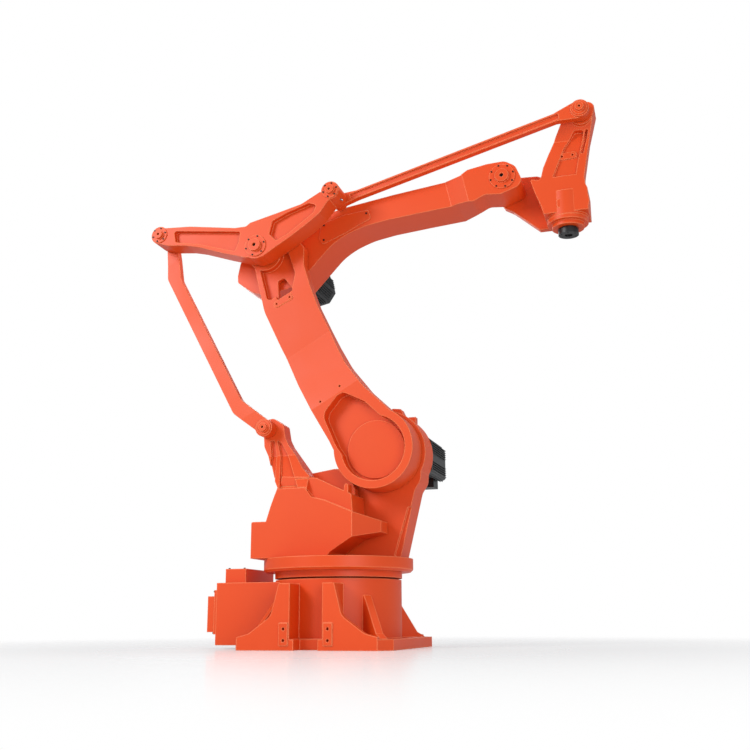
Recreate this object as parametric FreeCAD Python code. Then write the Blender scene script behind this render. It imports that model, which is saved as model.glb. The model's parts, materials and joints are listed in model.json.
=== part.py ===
"""Four-axis palletising robot arm with two parallel linkages, in millimetres.

The origin is on the floor on the slewing axis, +Z is up, +X is the way that the
arm reaches, and the link rods run on the -Y side.  The arm is drawn in its
parked pose.  Long members are drawn in their own (along, across) plane and
turned to their tilt.
"""
import FreeCAD
import Part
import math
import os

Vec = FreeCAD.Vector

# ---- driving dimensions ------------------------------------------------------
SHOULDER = (240.0, 970.0)          # shoulder axis, x and z
LOWER_LEN = 1290.0                 # shoulder axis to elbow axis
LOWER_TILT = 29.6                  # lower arm, degrees back from vertical
UPPER_LEN = 1350.0                 # elbow axis to wrist axis
UPPER_RISE = 12.2                  # upper arm, degrees above level
LINK_REAR = (-580.0, 130.0)        # elbow axis to the rear rod's upper pin
LINK_FRONT = (423.0, 265.0)        # elbow axis to the upper rod's rear pin
TOOL_OFFSET = 317.0                # wrist axis to the tool axis
TOOL_DROP = 329.0                  # wrist axis down to the tool face

RUN_GAP = 0.05                     # radial clearance of a pin in its bore
SEAT_GAP = 0.3                     # clearance where curved pieces sit together
PLATE_GAP = 4.0                    # side gap between a rod eye and its neighbour
BODY_GAP = 8.0                     # side gap between two swinging castings

# depth planes, from the near side (-Y) to the far side
LINK_FACE = -246.0                 # near face of the knuckle link
LINK_BACK = -120.0
LINK_EYE_W = 50.0                  # rod eyes behind the knuckle link
LINK_EYE_FACE = LINK_BACK + PLATE_GAP
LINK_EYE_BACK = LINK_EYE_FACE + LINK_EYE_W
BOSS_EYE_W = 60.0                  # rod eyes in front of the tower and the bracket
BOSS_EYE_FACE = -212.0
BOSS_EYE_BACK = BOSS_EYE_FACE + BOSS_EYE_W
BOSS_FACE = BOSS_EYE_BACK + PLATE_GAP
ROD_T = 38.0                       # thickness of the rods between their eyes
HUB_FACE = -190.0                  # near face of the lower arm at the shoulder
HUB_BACK = -10.0
ELBOW_FACE = LINK_BACK + BODY_GAP  # near face of the lower arm at the elbow
ELBOW_BACK = -48.0
UPPER_FACE = ELBOW_BACK + BODY_GAP
UPPER_BACK = 186.0
WRIST_FACE = -96.0
WRIST_BACK = 81.0
LUG_BACK = 125.0
CHEEK_FACE = 0.0
CHEEK_BACK = 165.0

# base
FLOOR_PAD_T = 50.0
FOOT_X = 390.0
FOOT_Y = 430.0
FOOT_CUT = 60.0
DRUM_R = 318.0
DRUM_TOP = 330.0
RING_R = 321.0
RING_BOTTOM = 338.0
PLATE_R = 378.0
PLATE_BOTTOM = 369.0
PLATE_TOP = 434.0
PLATE_CHAMFER = 12.0
FOOT_BOLT_R = 13.5
FOOT_BOLTS = ((345.0, 300.0), (250.0, 392.0))

# pins and caps
LINK_PIN_R = 26.0
LINK_END_R = 50.0
LINK_EYE_R = 42.0
BOSS_EYE_R = 46.0
RETAINER_R = 36.0                  # keeper plate on the far end of a link pin
RETAINER_T = 6.0
LINK_CAP_R = 45.0
BOSS_CAP_R = 38.0
BOSS_CAP_HUB_R = 22.0
LINK_CAP_HUB_R = 24.0
ELBOW_CAP_HUB_R = 34.0
WRIST_CAP_HUB_R = 36.0
CAP_HOLE_SHARE = 0.3               # centre hole as a share of the cap's hub
ELBOW_PIN_R = 45.0
ELBOW_BOSS_R = 72.0
ELBOW_CAP_R = 60.0
WRIST_PIN_R = 40.0
WRIST_CAP_R = 68.0
CAP_T = 6.0
CAP_HUB_T = 16.0
THROUGH = 600.0                    # reach of a cutter past what it cuts

TAPER_LOW = 345.0                  # the lower arm thins from here
TAPER_HIGH = 690.0                 # to here, measured from the shoulder
HUB_R = 205.0                      # lower arm's shoulder hub
CHEEK_R = 223.0
REDUCER_R = 135.0
REDUCER_BACK = 80.0
COVER_R = 148.0
MOTOR_W = 176.0
MOTOR_END = 520.0
MOTOR_CAP_T = 40.0
MOTOR_OFFSET = (119.0, 5.0)        # shoulder motor axis from the shoulder axis
ELBOW_REDUCER_R = 150.0
ELBOW_REDUCER_BACK = 262.0
ELBOW_MOTOR_OFFSET = (96.0, -48.0) # along and across the upper arm
ELBOW_MOTOR_R = 93.0
ELBOW_MOTOR_END = 480.0
PLUG_T = 20.0
COLLAR_R = 82.0
FLANGE_R = 52.0


def polar(origin, length, degrees):
    """Return the point at a length and angle from an origin, in x and z."""
    turn = math.radians(degrees)
    return (origin[0] + length * math.cos(turn), origin[1] + length * math.sin(turn))


def moved(point, step):
    """Return a point shifted by a step."""
    return (point[0] + step[0], point[1] + step[1])


LOWER_DIR = 90.0 + LOWER_TILT
ELBOW = polar(SHOULDER, LOWER_LEN, LOWER_DIR)
WRIST = polar(ELBOW, UPPER_LEN, UPPER_RISE)
PIN_A = moved(ELBOW, LINK_REAR)
PIN_C = moved(ELBOW, LINK_FRONT)
PIN_F = moved(SHOULDER, LINK_REAR)
PIN_E = moved(WRIST, LINK_FRONT)
TOOL_X = WRIST[0] + TOOL_OFFSET
TOOL_FACE = WRIST[1] - TOOL_DROP


# ---- drawing helpers ---------------------------------------------------------
class Plane:
    """A drawing plane along a tilted member, with its origin on an axis."""

    def __init__(self, origin=(0.0, 0.0), degrees=0.0):
        self.origin = origin
        self.turn = math.radians(degrees)

    def to_world(self, along, across):
        """Return x and z of a point given along and across the member."""
        c, s = math.cos(self.turn), math.sin(self.turn)
        return (self.origin[0] + along * c - across * s,
                self.origin[1] + along * s + across * c)


WORLD = Plane()
LOWER = Plane(SHOULDER, LOWER_DIR)
UPPER = Plane(ELBOW, UPPER_RISE)
AT_ELBOW = Plane(ELBOW)
AT_WRIST = Plane(WRIST)


def corner_edges(corners):
    """Return straight and arc edges through (Vec, radius) corners."""
    ends = []
    for k, (here, radius) in enumerate(corners):
        before = (corners[k - 1][0] - here).normalize()
        after = (corners[(k + 1) % len(corners)][0] - here).normalize()
        half = before.getAngle(after) / 2
        if radius <= 0:
            ends.append((here, None, here))
            continue
        cut = radius / math.tan(half)
        middle = (before + after).normalize()
        bulge = radius / math.sin(half) - radius
        ends.append((here + before * cut, here + middle * bulge, here + after * cut))
    edges = []
    for k, (start, bulge, stop) in enumerate(ends):
        if bulge is not None:
            edges.append(Part.Arc(start, bulge, stop).toShape())
        follow = ends[(k + 1) % len(ends)][0]
        if stop.distanceToPoint(follow) > 1e-6:
            edges.append(Part.LineSegment(stop, follow).toShape())
    return edges


def prism_y(points, y0, y1, plane=WORLD):
    """Extrude an outline of (along, across[, corner radius]) from y0 to y1."""
    corners = []
    for point in points:
        x, z = plane.to_world(point[0], point[1])
        corners.append((Vec(x, y0, z), point[2] if len(point) > 2 else 0.0))
    wire = Part.Wire(corner_edges(corners))
    return Part.Face(wire).extrude(Vec(0, y1 - y0, 0))


def prism_z(points, z0, z1):
    """Extrude an outline of (x, y[, corner radius]) from z0 to z1."""
    corners = [(Vec(p[0], p[1], z0), p[2] if len(p) > 2 else 0.0) for p in points]
    return Part.Face(Part.Wire(corner_edges(corners))).extrude(Vec(0, 0, z1 - z0))


def prism_member(points, plane, low, high):
    """Extrude an (along, y) outline across a tilted member, from low to high."""
    corners = []
    for along, y in points:
        x, z = plane.to_world(along, low)
        corners.append(Vec(x, y, z))
    start = plane.to_world(0, low)
    stop = plane.to_world(0, high)
    wire = Part.makePolygon(corners + [corners[0]])
    return Part.Face(wire).extrude(Vec(stop[0] - start[0], 0, stop[1] - start[1]))


def disc_y(centre, radius, y0, y1):
    """Return a round solid along Y at an (x, z) centre."""
    return Part.makeCylinder(radius, y1 - y0, Vec(centre[0], y0, centre[1]), Vec(0, 1, 0))


def disc_z(x, y, radius, z0, z1):
    """Return a round solid along Z."""
    return Part.makeCylinder(radius, z1 - z0, Vec(x, y, z0))


def block(x0, x1, y0, y1, z0, z1):
    """Return a box between two corners."""
    return Part.makeBox(x1 - x0, y1 - y0, z1 - z0, Vec(x0, y0, z0))


def fuse(shapes):
    """Return the shapes joined into one, with no seams left."""
    whole = shapes[0]
    if len(shapes) > 1:
        whole = whole.fuse(shapes[1:])
    return whole.removeSplitter()


def prism_x(points, x0, x1):
    """Extrude a (y, z) outline from x0 to x1."""
    corners = [Vec(x0, p[0], p[1]) for p in points]
    return Part.Face(Part.makePolygon(corners + [corners[0]])).extrude(Vec(x1 - x0, 0, 0))


def bores(body, centres, radius):
    """Cut one through hole along Y at each (x, z) centre."""
    for centre in centres:
        body = body.cut(disc_y(centre, radius, -THROUGH, THROUGH))
    return body


def cap(centre, radius, hub_r, face):
    """Return a stepped bearing cap that sits on a near face."""
    plate = disc_y(centre, radius, face - CAP_T, face)
    hub = disc_y(centre, hub_r, face - CAP_T - CAP_HUB_T, face - CAP_T)
    recess = disc_y(centre, hub_r * CAP_HOLE_SHARE, face - CAP_T - CAP_HUB_T - 1, face - CAP_T)
    return fuse([plate, hub]).cut(recess)


NODES = {}


def keep(name, shape):
    """Store a finished piece under its node name."""
    NODES[name] = shape


# ---- base --------------------------------------------------------------------
RIB_SHIFT = -15.0                  # the upright ribs stand a little behind centre
RIB_IN = 81.0
RIB_T = 56.0
RIB_TOP = 305.0
FLARE_T = 34.0
NOTCH_X = 60.0                     # half width of the notch in each long side
NOTCH_Y = 345.0
NECK_STEP = 60.0                   # the drum's top neck is this much smaller
PAD_W = 44.0                       # two-hole pads on the upright ribs
PAD_Z = (22.0, 124.0)
PAD_T = 6.0
PAD_HOLES_Z = (45.0, 97.0)
PAD_HOLE_R = 7.0
PAD_HOLE_DEEP = 20.0
CABINET_X = -570.0
CABINET_Y = 220.0
CABINET_Z = (18.0, 320.0)
COVER_TOP = 390.0
PANEL_T = 14.0
PLATE_DEPTH = 36.0                 # connector bodies behind the panel


def mirrored_y(x0, x1, y0, y1, z0, z1):
    """Return a box on each side of the mid plane."""
    return fuse([block(x0, x1, -y1, -y0, z0, z1), block(x0, x1, y0, y1, z0, z1)])


def base_foot_plate():
    """Return the floor plate with its four corner feet."""
    x, y, cut = FOOT_X, FOOT_Y, FOOT_CUT
    outline = [(cut - x, -y), (x - cut, -y), (x, cut - y), (x, y - cut),
               (x - cut, y), (cut - x, y), (-x, y - cut), (-x, cut - y)]
    notches = mirrored_y(RIB_SHIFT - NOTCH_X, RIB_SHIFT + NOTCH_X, NOTCH_Y, y + 1, -1, FLOOR_PAD_T + 1)
    return prism_z(outline, 0, FLOOR_PAD_T).cut(notches)


def corner_web(side, end):
    """Return the upright web from the drum out to one corner foot."""
    foot = math.hypot(FOOT_X, FOOT_Y) - FOOT_CUT
    inner = DRUM_R - 118
    outline = [(inner, 1), (inner, 250), (DRUM_R + 12, 250), (foot - 66, 75),
               (foot - 21, FLOOR_PAD_T + 2), (foot - 21, 1)]
    web = prism_y(outline, -19, 19)
    web.rotate(Vec(0, 0, 0), Vec(0, 0, 1), math.degrees(math.atan2(end * 1.06, side)))
    return web


def upright_rib(side, end):
    """Return one upright rib with its curved flare out to the foot."""
    x0, x1 = sorted((RIB_SHIFT + side * RIB_IN, RIB_SHIFT + side * (RIB_IN + RIB_T)))
    y0, y1 = sorted((end * 250.0, end * FOOT_Y))
    out = RIB_IN + RIB_T
    flare = [(out - 1, 0), (out - 1, RIB_TOP), (out, RIB_TOP), (out + 38, 155, 60),
             (out + 148, 76, 40), (out + 208, 60), (out + 208, 0)]
    flare = [(RIB_SHIFT + side * p[0],) + tuple(p[1:]) for p in flare]
    f0, f1 = sorted((end * (FOOT_Y - FLARE_T), end * FOOT_Y))
    return [block(x0, x1, y0, y1, 0, RIB_TOP), prism_y(flare, f0, f1)]


def rib_pads():
    """Return the raised pads on the ribs, and the cutter for their holes."""
    pads, holes = [], []
    for side in (-1, 1):
        middle = RIB_SHIFT + side * (RIB_IN + RIB_T / 2)
        for end in (-1, 1):
            y0, y1 = sorted((end * (FOOT_Y - 1), end * (FOOT_Y + PAD_T)))
            pads.append(block(middle - PAD_W / 2, middle + PAD_W / 2, y0, y1, *PAD_Z))
            h0, h1 = sorted((end * (FOOT_Y - PAD_HOLE_DEEP), end * (FOOT_Y + PAD_T + 1)))
            holes += [disc_y((middle, z), PAD_HOLE_R, h0, h1) for z in PAD_HOLES_Z]
    return pads, holes


def base_casting():
    """Return the base: drum, floor plate, upright ribs and corner webs."""
    neck = disc_z(0, 0, DRUM_R - NECK_STEP, DRUM_TOP, RING_BOTTOM - SEAT_GAP)
    solids = [base_foot_plate(), disc_z(0, 0, DRUM_R, 0, DRUM_TOP), neck]
    for end in (-1, 1):
        for side in (-1, 1):
            solids += upright_rib(side, end) + [corner_web(side, end)]
    pads, holes = rib_pads()
    body = fuse(solids + pads)
    for hole in holes:
        body = body.cut(hole)
    for bx, by in FOOT_BOLTS:
        for side in (-1, 1):
            for end in (-1, 1):
                body = body.cut(disc_z(side * bx, end * by, FOOT_BOLT_R, -1, FLOOR_PAD_T + 1))
    return body


def make_base():
    """Build the fixed base and the cabinet behind it."""
    keep("base_casting", base_casting())
    x, y = CABINET_X, CABINET_Y
    drum_room = disc_z(0, 0, DRUM_R + SEAT_GAP, 0, DRUM_TOP)
    foot_room = block(-FOOT_X - 1, 0, -THROUGH, THROUGH, 0, FLOOR_PAD_T + SEAT_GAP)
    box = block(x, -200, -y, y, *CABINET_Z).cut(drum_room)
    box = box.cut(foot_room).cut(fuse([corner_web(-1, -1), corner_web(-1, 1)]))
    keep("rear_cabinet", box)
    keep("cabinet_cover", block(x + 28, x + 139, 40 - y, y - 40, CABINET_Z[1], COVER_TOP))
    keep("connector_panel", block(x - PANEL_T, x, 4 - y, y - 4, 70, 285))
    z0, z1 = 81, 255
    for name, y0, y1 in (("connector_near", 8 - y, -20), ("connector_far", 20, y - 8)):
        keep(name, block(x - PANEL_T - PLATE_DEPTH, x - PANEL_T, y0, y1, z0, z1))


# ---- turntable ---------------------------------------------------------------
HOUSING_FACE = -250.0
HOUSING_SET = -222.0               # the housing's upper part is set back to here
HOUSING_WALL = -75.0
HOUSING_BACK = -20.0
PROW_X = 149.0                     # the housing's near face turns in from here
CLEAR_TOP = 900.0                  # above every part of the housing
LUG_T = 60.0                       # lifting lug on the housing
HUB_ROOM = 12.0                    # the housing keeps this clear of the arm's hub
TOWER_BACK = -60.0
TOWER_PIN_BACK = -90.0
TOWER_POCKET = 16.0


def make_turntable():
    """Build the slewing plate, drive housing, rod tower and shoulder cheek."""
    keep("slewing_ring", disc_z(0, 0, RING_R, RING_BOTTOM, PLATE_BOTTOM))
    plate = disc_z(0, 0, PLATE_R, PLATE_BOTTOM, PLATE_TOP)
    rim = [e for e in plate.Edges if e.Curve.TypeId == "Part::GeomCircle" and e.BoundBox.ZMax < PLATE_TOP - 1]
    keep("turntable_plate", plate.makeChamfer(PLATE_CHAMFER, rim))
    keep("drive_housing", drive_housing())
    keep("rod_tower", rod_tower())
    keep("shoulder_cheek", shoulder_cheek())
    keep("shoulder_reducer", disc_y(SHOULDER, REDUCER_R, -60, REDUCER_BACK))
    keep("tower_pin", disc_y(PIN_F, LINK_PIN_R, BOSS_EYE_FACE + 2, TOWER_PIN_BACK))
    make_shoulder_motor()


def drive_housing():
    """Return the gear housing: a prow-shaped lower box under a set-back upper part."""
    lower = [(-378, PLATE_TOP), (-378, 614, 8), (-300, 614), (-274, 696), (-243, 776), (-96, 776, 10),
             (-60, 728, 10), (6, 711), (149, 650), (264, 612), (264, 556), (149, 528), (36, 457),
             (20, PLATE_TOP)]
    box = prism_y(lower, HOUSING_FACE, HOUSING_BACK)
    prow = prism_z([(PROW_X, HOUSING_FACE - 1), (400, HOUSING_FACE - 1), (400, 6)], PLATE_TOP - 1,
                   CLEAR_TOP)
    upper = [(-274, 690), (-238, 779), (-230, 840), (-45, 826), (138, 738), (146, 640), (0, 600),
             (-274, 640)]
    upper = prism_y(upper, HOUSING_SET, HOUSING_BACK)
    room = [(-60, 802), (96, 736), (96, CLEAR_TOP), (-60, CLEAR_TOP)]
    upper = upper.cut(prism_y(room, HOUSING_SET + 26, HOUSING_WALL))
    wall = [(-140, 700), (-140, 868), (2, 889), (72, 868), (110, 780), (110, 700)]
    wall = prism_y(wall, HOUSING_WALL, HOUSING_BACK)
    lug = prism_y([(96, 730), (122, 730), (122, 790, 8), (104, 790, 8)], HOUSING_SET, HOUSING_SET + LUG_T)
    body = fuse([box.cut(prow), upper, wall, lug])
    return body.cut(disc_y(SHOULDER, HUB_R + HUB_ROOM, HUB_FACE - BODY_GAP, CHEEK_FACE))


def tower_pockets():
    """Return the cutter for the tower's two face pockets, deep at the top and fading out below."""
    top = PIN_F[1] - BOSS_EYE_R - 15
    x = PIN_F[0]
    left = [(x + 12, top), (x + 36, top), (x + 57, top - 125), (x + 96, 700), (x + 83, 700),
            (x + 25, top - 120)]
    right = [(x + 52, top), (x + 78, top - 18), (x + 118, top - 90), (x + 222, 745), (x + 115, 745),
             (x + 78, top - 110)]
    depth = prism_x([(-THROUGH, 1300), (BOSS_FACE + TOWER_POCKET, 1300), (BOSS_FACE + TOWER_POCKET, 960),
                     (-252, 735), (-THROUGH, 735)], -THROUGH, 0)
    return fuse([prism_y(left, -THROUGH, 0), prism_y(right, -THROUGH, 0)]).common(depth)


def rod_tower():
    """Return the tower that carries the rear rod's lower pin."""
    x, z = PIN_F
    outline = [(-243, 640), (-243, 782), (-283, 845), (-327, 940, 80), (x - 20, 1010, 30),
               (x - 24, z - 30, 20), (x - 50, z, 40), (x - 20, z + 50, 40), (x + 30, z + 58, 30),
               (x + 84, z + 20, 20), (x + 96, z - 50, 40), (-225, 1012, 60), (-128, 879), (-85, 838),
               (-85, 640)]
    body = prism_y(outline, HOUSING_FACE, TOWER_BACK)
    front = [(-THROUGH, 776), (-THROUGH, 1300), (BOSS_FACE, 1300), (BOSS_FACE, 960), (HOUSING_FACE, 776)]
    body = body.cut(prism_x(front, -THROUGH, 0)).cut(tower_pockets())
    body = bores(body, (PIN_F,), LINK_PIN_R + SEAT_GAP)
    return body.cut(NODES["drive_housing"])


def shoulder_cheek():
    """Return the upright cheek that carries the shoulder drive."""
    x, z = SHOULDER
    outline = [(-170, PLATE_TOP), (-170, 870, 20), (-12, 901), (40, 885), (x, z + 15), (x + 200, z - 70),
               (x + 196, z - 149, 60), (x + 165, 775, 60), (x + 82, PLATE_TOP)]
    body = fuse([prism_y(outline, CHEEK_FACE, CHEEK_BACK),
                disc_y(SHOULDER, CHEEK_R, CHEEK_FACE, CHEEK_BACK)])
    strip = [(x + 128, 690, 10), (x + 168, 690, 10), (x + 92, PLATE_TOP + 8, 10),
             (x + 52, PLATE_TOP + 8, 10)]
    body = body.cut(prism_y(strip, CHEEK_FACE - 1, CHEEK_FACE + 14))
    lug = prism_y([(x + 20, z + 190), (x + 29, z + 246, 6), (x + 77, z + 241, 6), (x + 100, z + 190)],
                  70, 130)
    switch = block(x + 116, x + 154, 80, 120, z + 160, z + 196)
    body = fuse([body, lug, switch])
    return body.cut(disc_y(SHOULDER, REDUCER_R + SEAT_GAP, CHEEK_FACE - 1, REDUCER_BACK))


def make_shoulder_motor():
    """Build the servo motor on the far side of the cheek."""
    centre = moved(SHOULDER, MOTOR_OFFSET)
    half = MOTOR_W / 2
    square = [(-half, -half, 14), (half, -half, 14), (half, half, 14), (-half, half, 14)]
    plane = Plane(centre)
    keep("shoulder_motor", prism_y(square, CHEEK_BACK, MOTOR_END, plane))
    small = [(p[0] * 0.92, p[1] * 0.92, 14) for p in square]
    keep("shoulder_motor_cap", prism_y(small, MOTOR_END, MOTOR_END + MOTOR_CAP_T, plane))
    z1 = centre[1] - half
    keep("shoulder_motor_plug",
         block(centre[0] - 30, centre[0] + 47, MOTOR_END - 110, MOTOR_END - 10, z1 - 48, z1))


# ---- lower arm ---------------------------------------------------------------
ARM_PAD_T = 4.0
ARM_HOLE_R = 6.0
ELBOW_PAD_R = 95.0
COVER_FACE = -132.0                # near face of the shoulder cover
COVER_PLATE_T = 12.0


def lower_taper(body):
    """Thin the arm from its hub width to its elbow width on both faces."""
    end = LOWER_LEN + 210
    near = [(TAPER_LOW, HUB_FACE - 50), (TAPER_LOW, HUB_FACE), (TAPER_HIGH, ELBOW_FACE), (end, ELBOW_FACE),
            (end, HUB_FACE - 50)]
    far = [(TAPER_LOW, HUB_BACK + 50), (TAPER_LOW, HUB_BACK), (TAPER_HIGH, ELBOW_BACK), (end, ELBOW_BACK),
           (end, HUB_BACK + 50)]
    return body.cut(prism_member(near, LOWER, -400, 400)).cut(prism_member(far, LOWER, -400, 400))


def lower_blank():
    """Return the lower arm's outline as a solid, with its hub and taper."""
    top = LOWER_LEN
    outline = [(0, 185), (153, 178, 200), (509, 186, 300), (top - 515, 176, 300), (top - 293, 161, 200),
               (top - 40, 90, 60), (top + 95, 70, 70), (top + 110, -80, 70), (top + 10, -186, 60),
               (top - 100, -206, 60), (top - 185, -156, 60), (top - 325, -125, 200), (top - 440, -107, 200),
               (602, -91, 200), (473, -88, 300), (300, -114, 200), (150, -160, 100), (0, -190)]
    body = fuse([prism_y(outline, HUB_FACE, HUB_BACK, LOWER), disc_y(SHOULDER, HUB_R, HUB_FACE, HUB_BACK)])
    return lower_taper(body)


def lower_arm():
    """Return the lower arm casting with its pocket, recess, window and pad."""
    top = LOWER_LEN
    pocket = [(0, 150), (110, 160, 60), (290, 142, 60), (334, 28, 30), (332, -9, 30), (228, -80, 60),
              (0, -150)]
    pocket = fuse([prism_y(pocket, HUB_FACE - 1, COVER_FACE + COVER_PLATE_T, LOWER),
                   disc_y(SHOULDER, 165, HUB_FACE - 1, COVER_FACE + COVER_PLATE_T)])
    recess = [(top - 250, 118, 20), (top - 262, -40, 20), (top - 200, -92, 20), (top - 60, -120, 30),
              (top + 10, 0, 30), (top - 60, 68, 20)]
    window = [(top - 279, 74, 12), (top - 278, -38, 12), (top - 167, -20, 14), (top - 164, 19, 14)]
    pad = [(top - 280, -16, 14), (top - 278, 96, 14), (top - 312, 98, 14), (top - 320, -16, 14)]
    body = lower_blank().cut(pocket)
    body = body.cut(prism_y(recess, ELBOW_FACE - 1, ELBOW_FACE + 36, LOWER))
    pad = prism_y(pad, ELBOW_FACE - ARM_PAD_T, ELBOW_FACE + 1, LOWER)
    body = fuse([body, disc_y(ELBOW, ELBOW_PAD_R, ELBOW_FACE, ELBOW_BACK), pad])
    body = body.cut(prism_y(window, ELBOW_FACE - 1, ELBOW_BACK + 1, LOWER))
    for along, across in ((top - 294, 80), (top - 303, 0), (357, 120), (372, -7)):
        hole = LOWER.to_world(along, across)
        body = body.cut(disc_y(hole, ARM_HOLE_R, HUB_FACE - 5, ELBOW_FACE + 12))
    body = body.cut(disc_y(SHOULDER, REDUCER_R + RUN_GAP, -60, 0))
    return bores(body, (ELBOW,), ELBOW_PIN_R + RUN_GAP)


def make_lower_arm():
    """Build the lower arm casting and its shoulder cover."""
    keep("lower_arm", lower_arm())
    keep("shoulder_cover", disc_y(SHOULDER, COVER_R, COVER_FACE, COVER_FACE + COVER_PLATE_T))


# ---- knuckle link ------------------------------------------------------------
RECESS_DEEP = 28.0


def link_outline():
    """Return the outline of the three-cornered link round its three axes."""
    ax, az = LINK_REAR
    cx, cz = LINK_FRONT
    return [(ax, az + 48), (ax + 36, az + 38), (ax + 185, az + 29), (-123, 117), (-58, 118, 20),
            (-35, 136, 20), (127, 174, 60), (261, 207, 60), (cx - 56, cz - 2), (cx + 7, cz - 35),
            (cx - 60, cz - 122), (cx - 130, cz - 175, 60), (193, 25, 60), (102, -28, 60), (40, -66, 30),
            (-60, -60, 60), (-190, -20, 60), (ax + 239, az - 98, 60), (ax + 165, az - 80, 60),
            (ax + 54, az - 68), (ax, az - 50)]


def knuckle_link():
    """Return the three-cornered link with its two face recesses."""
    ax, az = LINK_REAR
    cx, cz = LINK_FRONT
    ends = [disc_y(pin, LINK_END_R, LINK_FACE, LINK_BACK) for pin in (PIN_A, PIN_C)]
    hub = disc_y(ELBOW, ELBOW_BOSS_R, LINK_FACE, LINK_BACK)
    body = fuse([prism_y(link_outline(), LINK_FACE, LINK_BACK, AT_ELBOW), hub] + ends)
    left = [(ax + 88, az + 14, 12), (ax + 100, az - 54, 12), (-342, 50, 30), (-120, -18, 12),
            (-100, 30, 12), (-90, 92, 12)]
    right = [(78, 58, 14), (95, 130, 14), (179, 168, 40), (cx - 120, cz - 58, 12), (cx - 78, cz - 74, 12),
             (cx - 92, cz - 114, 12), (190, 50, 30), (118, 16, 14)]
    for recess in (left, right):
        body = body.cut(prism_y(recess, LINK_FACE - 1, LINK_FACE + RECESS_DEEP, AT_ELBOW))
    return bores(body, (PIN_A, PIN_C), LINK_PIN_R + SEAT_GAP).cut(
        disc_y(ELBOW, ELBOW_PIN_R + SEAT_GAP, -THROUGH, THROUGH))


def keep_link_pin(end, centre):
    """Build a link pin and the keeper plate that holds the rod's eye on it."""
    back = LINK_EYE_BACK + SEAT_GAP
    keep("knuckle_%s_pin" % end, disc_y(centre, LINK_PIN_R, LINK_FACE, back))
    keep("%s_pin_keeper" % end, disc_y(centre, RETAINER_R, back, back + RETAINER_T))


def make_knuckle():
    """Build the link that keeps the wrist level, its pins and its caps."""
    keep("knuckle_link", knuckle_link())
    keep_link_pin("rear", PIN_A)
    keep_link_pin("front", PIN_C)
    keep("elbow_shaft", disc_y(ELBOW, ELBOW_PIN_R, LINK_FACE + 4, 120))
    keep("knuckle_rear_cap", cap(PIN_A, LINK_CAP_R, LINK_CAP_HUB_R, LINK_FACE))
    keep("knuckle_front_cap", cap(PIN_C, LINK_CAP_R, LINK_CAP_HUB_R, LINK_FACE))
    keep("knuckle_elbow_cap", cap(ELBOW, ELBOW_CAP_R, ELBOW_CAP_HUB_R, LINK_FACE))


# ---- rods --------------------------------------------------------------------
LEAN_START = 110.0                 # the rods lean towards the near side from here


def leaning_bar(outline, plane, span):
    """Return a rod's bar: behind the link at its start, in front of the boss at span."""
    low = LINK_EYE_FACE + (LINK_EYE_W - ROD_T) / 2
    high = BOSS_EYE_FACE + (BOSS_EYE_W - ROD_T) / 2
    body = prism_y(outline, -THROUGH, THROUGH, plane)
    path = [(-200, low), (LEAN_START, low), (span - LEAN_START, high), (span + 200, high)]
    near = path + [(span + 200, -THROUGH), (-200, -THROUGH)]
    far = [(a, y + ROD_T) for a, y in path] + [(span + 200, THROUGH), (-200, THROUGH)]
    for side in (near, far):
        body = body.cut(prism_member(side, plane, -400, 400))
    return body


def rod_eyes(link_pin_at, boss_pin_at):
    """Return the two round eyes of a rod."""
    return [disc_y(link_pin_at, LINK_EYE_R, LINK_EYE_FACE, LINK_EYE_BACK),
            disc_y(boss_pin_at, BOSS_EYE_R, BOSS_EYE_FACE, BOSS_EYE_BACK)]


def in_member(plane, start, points):
    """Turn (x, z[, radius]) steps from a start point into a member's own plane."""
    c, s = math.cos(plane.turn), math.sin(plane.turn)
    out = []
    for point in points:
        x = start[0] + point[0] - plane.origin[0]
        z = start[1] + point[1] - plane.origin[1]
        out.append((x * c + z * s, z * c - x * s) + tuple(point[2:]))
    return out


def make_rear_rod():
    """Build the dog-legged rod between the link and the tower."""
    turn = math.degrees(math.atan2(PIN_F[1] - PIN_A[1], PIN_F[0] - PIN_A[0]))
    plane = Plane(PIN_A, turn)
    left = in_member(plane, PIN_A, [(-24, 0), (-22, -50), (-8, -217, 60)])
    right = in_member(plane, PIN_A, [(78, -227, 60), (45, -50), (38, 0)])
    foot = in_member(plane, PIN_F, [(-180, 88, 80), (-6, -40), (16, 41), (-140, 159, 80)])
    body = leaning_bar(left + foot + right, plane, LOWER_LEN)
    body = bores(fuse([body] + rod_eyes(PIN_A, PIN_F)), (PIN_A, PIN_F), LINK_PIN_R + RUN_GAP)
    keep("rear_rod", body)
    keep("rear_rod_cap", cap(PIN_F, BOSS_CAP_R, BOSS_CAP_HUB_R, BOSS_EYE_FACE))


BAR_HALF = 22.0                    # half height of the upper rod
GROOVE_LIP = 8.0
GROOVE_DEEP = 12.0


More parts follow.
